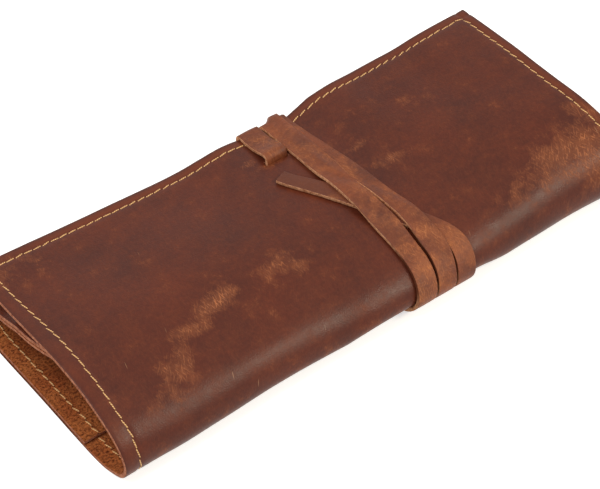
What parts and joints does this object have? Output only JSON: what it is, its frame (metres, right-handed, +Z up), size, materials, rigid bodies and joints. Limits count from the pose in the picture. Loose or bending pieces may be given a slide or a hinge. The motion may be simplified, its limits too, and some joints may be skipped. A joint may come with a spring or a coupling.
{
  "type": "pencil roll",
  "caption": "Soft leather pencil case folded in three, with a stitched flap, a slotted inner pocket and a narrow strap wound round it as the tie.",
  "frame": {"origin": "bottom centre of the closed and tied roll, on the table", "axes": "+X along the roll towards the pocket's mouth, +Y towards the flap's free edge and the back fold, -Y towards the front fold, +Z up"},
  "size_m": [0.2152, 0.0943, 0.0299],
  "materials": {
    "oiled_leather": "brown oiled leather with a soft sheen and paler scuffed patches",
    "pocket_suede": "matt suede, the flesh side of the leather",
    "strap_leather": "brown oiled leather strap with paler cut edges",
    "gold_thread": "pale gold waxed thread"
  },
  "bodies": {
    "base": {"base_panel": "oiled_leather", "base_pocket": "pocket_suede", "base_seam_left": "gold_thread", "base_seam_right": "gold_thread", "base_slot_seam_1": "gold_thread", "base_slot_seam_2": "gold_thread", "front_fold": "oiled_leather", "fold_seam_left": "gold_thread", "fold_seam_right": "gold_thread", "back_fold": "oiled_leather", "back_fold_pocket": "pocket_suede", "back_seam_left": "gold_thread", "back_seam_right": "gold_thread", "back_fold_slot_seam_1": "gold_thread", "back_fold_slot_seam_2": "gold_thread"},
    "flap": {"flap_panel": "oiled_leather", "flap_seam": "gold_thread", "strap_root": "strap_leather"},
    "inner": {"inner_panel": "oiled_leather", "inner_pocket": "pocket_suede", "inner_seam": "gold_thread", "inner_slot_seam_1": "gold_thread", "inner_slot_seam_2": "gold_thread"},
    "strap": {"tie_strap": "strap_leather"}
  },
  "joints": [
    {"name": "flap_fold", "type": "hinge", "parent": "base", "child": "flap", "pos_m": [0, -0.04547, 0.01], "axis": [1, 0, 0], "range_deg": [0, 165], "deforming": ["front_fold", "fold_seam_left", "fold_seam_right"]},
    {"name": "inner_fold", "type": "hinge", "parent": "base", "child": "inner", "pos_m": [0, 0.03254, 0.011], "axis": [1, 0, 0], "range_deg": [-165, 0], "deforming": ["back_fold", "back_fold_pocket", "back_seam_left", "back_seam_right", "back_fold_slot_seam_1", "back_fold_slot_seam_2"]},
    {"name": "strap_slide", "type": "slide", "parent": "base", "child": "strap", "axis": [1, 0, 0], "range_m": [0, 0.13], "deforming": ["tie_strap"]}
  ],
  "couplings": [
    {"joint": "inner_fold", "follows": "flap_fold", "ratio": -1}
  ]
}
